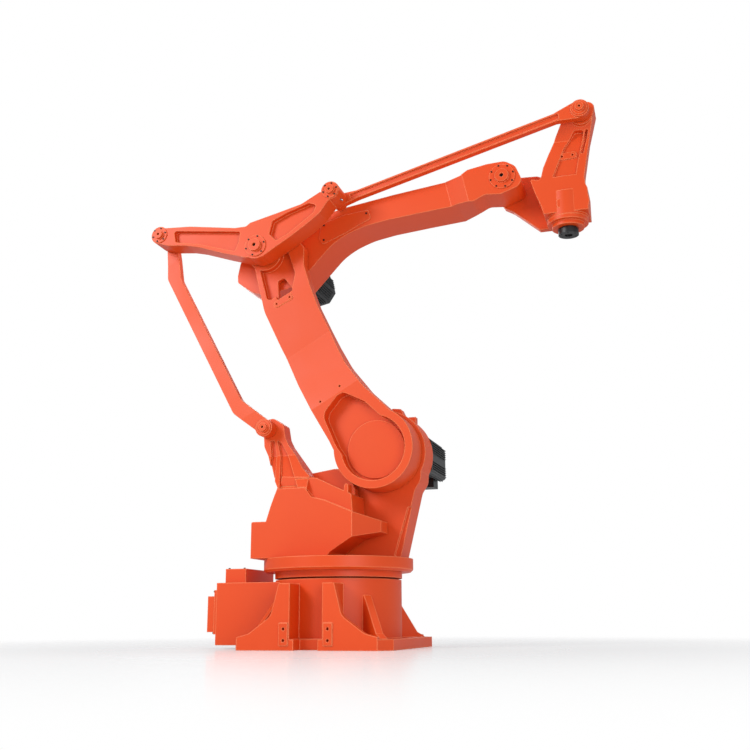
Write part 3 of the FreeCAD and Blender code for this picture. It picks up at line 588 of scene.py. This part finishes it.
@dataclass
class FinnedMotor:
    """The cooling fins of a servo motor along Y, in millimetres."""

    motor: str
    body: str
    fin_height: float = 9.0
    fin_width: float = 5.0
    start: float = 26.0                # plain length before the fins
    finish_back: float = 14.0          # plain length after them

    def fin(self, piece: Piece, place: Vector, outward: Vector, length: float) -> None:
        """Add one fin with a rounded tip.

        Args:
            piece: The mesh that the fin is added to.
            place: The fin's root at its near end, in metres.
            outward: The way that the fin stands.
            length: The fin's length along Y, in millimetres.
        """
        half, tip = self.fin_width / 2, self.fin_height
        section = ((-half, -2.0), (half, -2.0), (half * 0.8, tip - 1.5), (half * 0.4, tip),
                   (-half * 0.4, tip), (-half * 0.8, tip - 1.5))
        along = Vector((0, 1, 0))
        across = outward.cross(along)
        turn = Matrix((across, outward, along)).transposed().to_4x4()
        piece.extruded(Matrix.Translation(place) @ turn, section, length)

    def fins_on_flat(self, piece: Piece, angle: float, reach: float, offsets: Iterable[float]) -> None:
        """Add the fins of one flat of the motor.

        Args:
            piece: The mesh that the fins are added to.
            angle: The way that the flat faces, in degrees in the XZ plane.
            reach: The flat's distance from the motor's axis.
            offsets: Where the fins stand across the flat.
        """
        low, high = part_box(self.motor)
        axis = middle_of(self.motor)
        length = (high[1] - low[1]) / MM - self.start - self.finish_back
        turn = math.radians(angle)
        outward = Vector((math.cos(turn), 0, math.sin(turn)))
        across = Vector((-math.sin(turn), 0, math.cos(turn)))
        for offset in offsets:
            place = axis + outward * reach * MM + across * offset * MM
            place.y = low[1] + self.start * MM
            self.fin(piece, place, outward, length)


@dataclass
class Pedestal(SubAssembly):
    """The fixed base and the connector cabinet behind it."""

    body: str = "base"
    painted: tuple[str, ...] = ("base_casting", "rear_cabinet", "cabinet_cover", "connector_panel",
                                "connector_near", "connector_far")
    connectors: tuple[str, ...] = ("connector_near", "connector_far")
    cover_inset: float = 14.0
    hood_height: float = 9.0
    gland: float = 30.0                # radius of a cable gland's rim

    def build(self) -> None:
        """Add the cover screws, the panel screws and the connectors' hoods."""
        self.cover_screws()
        self.panel_screws()
        for connector in self.connectors:
            self.hood(connector)

    def cover_screws(self) -> None:
        """Add a screw at each corner of the cabinet's top cover."""
        low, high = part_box("cabinet_cover")
        inset = self.cover_inset * MM
        corners = [Vector((x, y, high[2])) for x in (low[0] + inset, high[0] - inset)
                   for y in (low[1] + inset, high[1] - inset)]
        self.screws_at("cabinet_cover_screws", corners, Side.UP, COVER_SCREW)

    def panel_screws(self) -> None:
        """Add a screw at each corner of the connector panel."""
        low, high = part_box("connector_panel")
        inset = self.cover_inset * MM / 2
        corners = [Vector((low[0], y, z)) for y in (low[1] + inset, high[1] - inset)
                   for z in (low[2] + inset, high[2] - inset)]
        self.screws_at("connector_panel_screws", corners, Side.BACK, COVER_SCREW)

    def hood(self, connector: str) -> None:
        """Add the raised hood rim and two cable glands of one connector.

        Args:
            connector: The connector's node name.
        """
        low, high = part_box(connector)
        piece = Piece(connector + "_hood")
        middle = middle_of(connector)
        face = Vector((low[0], middle.y, middle.z))
        for step in (-1, 1):
            seat = face + Vector((0, 0, step * (high[2] - low[2]) / 4))
            piece.turned(facing(seat, Side.BACK.value),
                         (Ring(self.gland, -1), Ring(self.gland, self.hood_height - 2),
                          Ring(self.gland - 2, self.hood_height), Ring(self.gland - 6, self.hood_height, 6),
                          Ring(self.gland - 6, 3, 6), Ring(12, 3), Ring(12, 6), Ring(10, 7)))
        piece.finish(self.body, Finish.ANODISED)


@dataclass
class Turntable(SubAssembly):
    """The slewing plate with its housing, rod tower, cheek and shoulder motor."""

    body: str = "turntable"
    painted: tuple[str, ...] = ("slewing_ring", "turntable_plate", "drive_housing", "rod_tower",
                                "shoulder_cheek")
    anodised: tuple[str, ...] = ("shoulder_motor", "shoulder_motor_cap", "shoulder_motor_plug")
    steel: tuple[str, ...] = ("tower_pin", "shoulder_reducer")
    motor_half: float = 88.0
    fin_pitch: float = 12.0
    fins_per_side: int = 5             # on each side of the plain band
    band_half: float = 26.0            # from a flat's middle to its first fin
    plug_flat: float = 270.0           # the way that the plug's flat faces, in degrees
    plug_half: float = 50.0            # half width kept free of fins round the plug
    flange_edge: float = 10.0          # how far the flange stands past the motor
    flange_cut: float = 22.0           # corner cut of the flange
    flange_depth: float = 14.0
    flange_inset: float = 16.0         # from the flange's edge to its screws
    cap_screw_half: float = 62.0       # from the axis to the end cap's screws
    seat_lift: float = 0.5             # small lift of the flange off the motor's root
    reducer_ring: ScrewRing = ScrewRing(168.0, 16, 11.0, DRIVE_SCREW)

    def build(self) -> None:
        """Add the motor's fins and flange, and the reducer's screws."""
        self.motor_fins()
        self.motor_flange()
        self.reducer_screws()

    def motor_fins(self) -> None:
        """Add the fins on the four flats of the shoulder motor, with a plain band down each middle."""
        motor = FinnedMotor("shoulder_motor", self.body)
        piece = Piece("shoulder_motor_fins")
        offsets = [sign * (self.band_half + self.fin_pitch * k)
                   for sign in (-1, 1) for k in range(self.fins_per_side)]
        beside_plug = [offset for offset in offsets if abs(offset) > self.plug_half]
        for angle in (0.0, 90.0, 180.0, 270.0):
            across = beside_plug if angle == self.plug_flat else offsets
            motor.fins_on_flat(piece, angle, self.motor_half, across)
        piece.finish(self.body, Finish.ANODISED)

    def motor_flange(self) -> None:
        """Add the motor's square mounting flange with its four screws, and the end cap's screws."""
        low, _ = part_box("shoulder_motor")
        axis = middle_of("shoulder_motor")
        half = self.motor_half + self.flange_edge
        inner = half - self.flange_cut
        section = ((half, inner), (inner, half), (-inner, half), (-half, inner),
                   (-half, -inner), (-inner, -half), (inner, -half), (half, -inner))
        piece = Piece("shoulder_motor_flange")
        seat = Vector((axis.x, low[1] + self.seat_lift * MM, axis.z))
        piece.extruded(facing(seat, Side.FAR.value), section, self.flange_depth)
        piece.finish(self.body, Finish.ANODISED)
        face = low[1] + (self.seat_lift + self.flange_depth) * MM
        self.screws_at("shoulder_motor_screws", self.corners(axis, half - self.flange_inset, face), Side.FAR,
                       FLANGE_SCREW)
        _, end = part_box("shoulder_motor_cap")
        self.screws_at("shoulder_motor_cap_screws", self.corners(axis, self.cap_screw_half, end[1]), Side.FAR,
                       COVER_SCREW)

    @staticmethod
    def corners(axis: Vector, half: float, face: float) -> list[Vector]:
        """Return the four corners of a square round an axis along Y.

        Args:
            axis: A place on the axis, in metres.
            half: Half the square's side, in millimetres.
            face: The square's Y, in metres.

        Returns:
            The corners in metres.
        """
        reach = half * MM
        return [Vector((axis.x + sx * reach, face, axis.z + sz * reach))
                for sx in (-1, 1) for sz in (-1, 1)]

    def reducer_screws(self) -> None:
        """Add the screws that hold the reducer, where the motor leaves them open."""
        _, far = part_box("shoulder_cheek")
        axis = middle_of("shoulder_reducer")
        motor = middle_of("shoulder_motor")
        room = (self.motor_half + SCREW_ROOM) * MM
        seats = self.reducer_ring.places(Vector((axis.x, far[1], axis.z)))
        clear = [s for s in seats if abs(s.x - motor.x) > room or abs(s.z - motor.z) > room]
        self.screws_at("shoulder_reducer_screws", clear, Side.FAR, self.reducer_ring.screw)


@dataclass
class LowerArm(SubAssembly):
    """The lower arm with its shoulder cover."""

    body: str = "lower_arm"
    painted: tuple[str, ...] = ("lower_arm", "shoulder_cover")


@dataclass
class Knuckle(SubAssembly):
    """The three-cornered link at the elbow with its pins and caps."""

    body: str = "knuckle"
    painted: tuple[str, ...] = ("knuckle_link", "knuckle_rear_cap", "knuckle_front_cap", "knuckle_elbow_cap")
    steel: tuple[str, ...] = ("elbow_shaft", "knuckle_rear_pin", "knuckle_front_pin", "rear_pin_keeper",
                              "front_pin_keeper")
    nipple_angle: float = -38.0
    nipple_depth: float = 62.0         # behind the link's near face
    boss_radius: float = 50.0

    def build(self) -> None:
        """Add the caps' screws and the front boss's grease nipple."""
        self.cap_fixings("knuckle_rear_cap", 24.0, ScrewRing(38.0, 6))
        self.cap_fixings("knuckle_front_cap", 24.0, ScrewRing(38.0, 6))
        self.cap_fixings("knuckle_elbow_cap", 34.0, ScrewRing(53.0, 6))
        self.nipple()

    def nipple(self) -> None:
        """Add the grease nipple on the side of the front boss."""
        low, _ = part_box("knuckle_link")
        turn = math.radians(self.nipple_angle)
        way = Vector((math.cos(turn), 0, math.sin(turn)))
        centre = middle_of("knuckle_front_cap")
        seat = Vector((centre.x, low[1] + self.nipple_depth * MM, centre.z)) + way * self.boss_radius * MM
        piece = Piece("front_boss_nipple")
        piece.turned(facing(seat, way), (Ring(6, -2, 6), Ring(6, 4, 6), Ring(3.5, 5), Ring(3.5, 9),
                                         Ring(5, 11), Ring(5, 13), Ring(2, 16)))
        piece.finish(self.body, Finish.STEEL)


@dataclass
class RearRod(SubAssembly):
    """The dog-legged rod from the link down to the tower."""

    body: str = "rear_rod"
    painted: tuple[str, ...] = ("rear_rod", "rear_rod_cap")

    def build(self) -> None:
        """Add the cap's centre plug."""
        self.cap_fixings("rear_rod_cap", 22.0, None)


@dataclass
class UpperRod(SubAssembly):
    """The straight rod from the link out to the wrist bracket."""

    body: str = "upper_rod"
    painted: tuple[str, ...] = ("upper_rod", "upper_rod_cap")

    def build(self) -> None:
        """Add the cap's centre plug."""
        self.cap_fixings("upper_rod_cap", 22.0, None)


@dataclass
class UpperArm(SubAssembly):
    """The upper arm with its cover, wrist pivot and elbow drive."""

    body: str = "upper_arm"
    painted: tuple[str, ...] = ("upper_arm", "upper_arm_cover", "wrist_cap", "elbow_reducer")
    anodised: tuple[str, ...] = ("elbow_motor", "elbow_motor_cap", "elbow_motor_plug")
    steel: tuple[str, ...] = ("wrist_shaft",)
    rise: float = 12.2                 # the arm's tilt at rest, in degrees
    cover_screws: tuple[tuple[float, float], ...] = ((326.0, 2.0), (592.0, 74.0), (344.0, 86.0))
    motor_flat: float = 93.0
    fin_offsets: tuple[float, ...] = (-24.0, -12.0, 0.0, 12.0, 24.0)
    flats: int = 8
    bare_flat: int = 4                 # the flat without fins, counted from the wrist's side
    reducer_ring: ScrewRing = ScrewRing(134.0, 12, 0.0, FLANGE_SCREW)

    def build(self) -> None:
        """Add the cover's and the wrist cap's screws, the motor's fins and the reducer's screws."""
        self.cap_fixings("wrist_cap", 36.0, ScrewRing(61.0, 8))
        self.cover_fixings()
        self.motor_fins()
        self.reducer_screws()

    def on_arm(self, along: float, across: float, face: float) -> Vector:
        """Return a place on the arm.

        Args:
            along: Distance from the elbow axis along the arm, in millimetres.
            across: Distance above the arm's own line, in millimetres.
            face: The place's Y, in metres.

        Returns:
            The place in metres.
        """
        turn = math.radians(self.rise)
        elbow = middle_of("elbow_reducer")
        step = Vector((along * math.cos(turn) - across * math.sin(turn), 0,
                       along * math.sin(turn) + across * math.cos(turn)))
        return Vector((elbow.x, face, elbow.z)) + step * MM

    def cover_fixings(self) -> None:
        """Add the screws of the arm's side cover."""
        low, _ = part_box("upper_arm_cover")
        seats = [self.on_arm(along, across, low[1]) for along, across in self.cover_screws]
        self.screws_at("upper_arm_cover_screws", seats, Side.NEAR, COVER_SCREW)

    def motor_fins(self) -> None:
        """Add the fins on every flat but one of the eight-sided elbow motor."""
        motor = FinnedMotor("elbow_motor", self.body)
        piece = Piece("elbow_motor_fins")
        for flat in range(self.flats):
            if flat != self.bare_flat:
                angle = self.rise + 360.0 * flat / self.flats
                motor.fins_on_flat(piece, angle, self.motor_flat, self.fin_offsets)
        piece.finish(self.body, Finish.ANODISED)

    def reducer_screws(self) -> None:
        """Add the reducer's screws, where the motor leaves them open."""
        _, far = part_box("elbow_reducer")
        axis = middle_of("elbow_reducer")
        motor = middle_of("elbow_motor")
        seats = self.reducer_ring.places(Vector((axis.x, far[1], axis.z)))
        room = (self.motor_flat + SCREW_ROOM) * MM
        clear = [s for s in seats if math.hypot(s.x - motor.x, s.z - motor.z) > room]
        self.screws_at("elbow_reducer_screws", clear, Side.FAR, self.reducer_ring.screw)


@dataclass
class Wrist(SubAssembly):
    """The wrist bracket that hangs level, with its collar and pin."""

    body: str = "wrist"
    painted: tuple[str, ...] = ("wrist_bracket", "wrist_collar")
    steel: tuple[str, ...] = ("bracket_pin",)


@dataclass
class Tool(SubAssembly):
    """The bare tool flange."""

    body: str = "tool"
    anodised: tuple[str, ...] = ("tool_flange",)


# ---- studio ------------------------------------------------------------------
@dataclass(frozen=True)
class StudioFloor:
    """Pale polished resin floor that fades into the backdrop.

    It is nearly white and gives back a faint soft reflection.
    """

    name: str = "pale_resin_floor"
    colour: str = "#F4F4F3"
    mottle: str = "#EDEDEC"
    mottle_mm: float = 900.0
    roughness: float = 0.16
    size: float = 24.0                 # in metres
    strength: float = 0.7              # how much of the sheet shows over the lit surround
    fade: tuple[float, float] = (0.9, 4.0)

    def build(self) -> None:
        """Add the floor."""
        material, tree, place = new_material(self.name)
        mottle = add_node(tree, "ShaderNodeTexNoise", {"Vector": place, "Scale": per_metre(self.mottle_mm),
                                                       "Detail": 4.0})
        colour = blend_colours(tree, mottle.outputs["Fac"], linear(self.colour), linear(self.mottle))
        resin = add_node(tree, "ShaderNodeBsdfPrincipled", {"Base Color": colour, "Roughness": self.roughness,
                                                            "IOR": 1.45})
        reach = add_node(tree, "ShaderNodeVectorMath", {"0": place}, operation="LENGTH")
        share = add_node(tree, "ShaderNodeMapRange",
                         {"Value": reach.outputs["Value"], "From Min": self.fade[0], "From Max": self.fade[1],
                          "To Min": 1.0 - self.strength, "To Max": 1.0}, interpolation_type="SMOOTHSTEP")
        clear = add_node(tree, "ShaderNodeBsdfTransparent")
        sheet = add_node(tree, "ShaderNodeMixShader",
                         {"0": share.outputs[0], "1": resin.outputs[0], "2": clear.outputs[0]})
        end_material(tree, sheet)
        half = self.size / 2
        mesh = bpy.data.meshes.new("studio_floor")
        corners = [(-half, -half, 0), (half, -half, 0), (half, half, 0), (-half, half, 0)]
        mesh.from_pydata(corners, [], [(0, 1, 2, 3)])
        mesh.materials.append(material)
        floor = bpy.data.objects.new("studio_floor", mesh)
        bpy.context.scene.collection.objects.link(floor)


@dataclass(frozen=True)
class SoftBox:
    """One soft studio light, in metres and watts."""

    name: str
    place: tuple[float, float, float]
    size: float
    power: float
    aim: tuple[float, float, float] = (0.0, 0.0, 1.1)

    def build(self) -> None:
        """Add the light."""
        light = bpy.data.lights.new(self.name, "AREA")
        light.shape = "SQUARE"
        light.size = self.size
        light.energy = self.power
        lamp = bpy.data.objects.new(self.name, light)
        lamp.location = self.place
        way = Vector(self.aim) - Vector(self.place)
        lamp.rotation_euler = way.to_track_quat("-Z", "Y").to_euler()
        bpy.context.scene.collection.objects.link(lamp)


@dataclass(frozen=True)
class Studio:
    """The floor, the even white surround, the soft boxes and the camera."""

    backdrop: str = "#FFFFFF"
    surround: str = "#FBFCFF"
    surround_strength: float = 0.54
    boxes: tuple[SoftBox, ...] = (
        SoftBox("key_box", (-3.9, -5.2, 4.0), 2.4, 280.0),
        SoftBox("fill_box", (4.0, -5.0, 1.0), 3.0, 135.0),
        SoftBox("top_box", (0.4, 0.6, 6.2), 3.0, 190.0),
        SoftBox("back_box", (-2.6, 5.4, 3.4), 3.0, 90.0),
    )
    eye: tuple[float, float, float] = (1.645, -4.829, 0.133)
    turn: float = 16.69                # degrees round Z
    rise: float = 13.98                # degrees above level
    roll: float = -0.29
    lens: float = 47.34                # mm, on a 36 mm wide sensor

    def build(self) -> None:
        """Build the whole studio."""
        StudioFloor().build()
        self.light()
        self.camera()

    def light(self) -> None:
        """Set the surround and add the soft boxes."""
        scene = bpy.context.scene
        world = bpy.data.worlds.new("white_surround")
        world.use_nodes = True
        tree = world.node_tree
        tree.nodes.clear()
        seen = add_node(tree, "ShaderNodeLightPath").outputs["Is Camera Ray"]
        glow = add_node(tree, "ShaderNodeBackground", {"Color": linear(self.surround),
                                                       "Strength": self.surround_strength})
        sheet = add_node(tree, "ShaderNodeBackground", {"Color": linear(self.backdrop)})
        both = add_node(tree, "ShaderNodeMixShader", {"0": seen, "1": glow.outputs[0], "2": sheet.outputs[0]})
        add_node(tree, "ShaderNodeOutputWorld", {"Surface": both.outputs[0]})
        scene.world = world
        scene.view_settings.view_transform = "Standard"
        for box in self.boxes:
            box.build()

    def camera(self) -> None:
        """Add the camera, low down and looking a little up at the arm."""
        data = bpy.data.cameras.new("front_camera")
        data.lens = self.lens
        data.sensor_width = 36.0
        camera = bpy.data.objects.new("front_camera", data)
        level = Matrix.Rotation(math.radians(self.turn), 4, "Z")
        tilt = Matrix.Rotation(math.radians(90.0 + self.rise), 4, "X")
        roll = Matrix.Rotation(math.radians(self.roll), 4, "Z")
        camera.matrix_world = Matrix.Translation(self.eye) @ level @ tilt @ roll
        bpy.context.scene.collection.objects.link(camera)
        bpy.context.scene.camera = camera


def main() -> None:
    """Dress the frame, add every piece and build the studio."""
    logging.basicConfig(level=logging.INFO, format="%(message)s")
    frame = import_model()
    bodies = (Pedestal(), Turntable(), LowerArm(), Knuckle(), RearRod(), UpperRod(), UpperArm(),
              Wrist(), Tool())
    for part in bodies:
        part.dress(frame["nodes"])
        part.build()
    Studio().build()


if __name__ == "__main__":
    main()
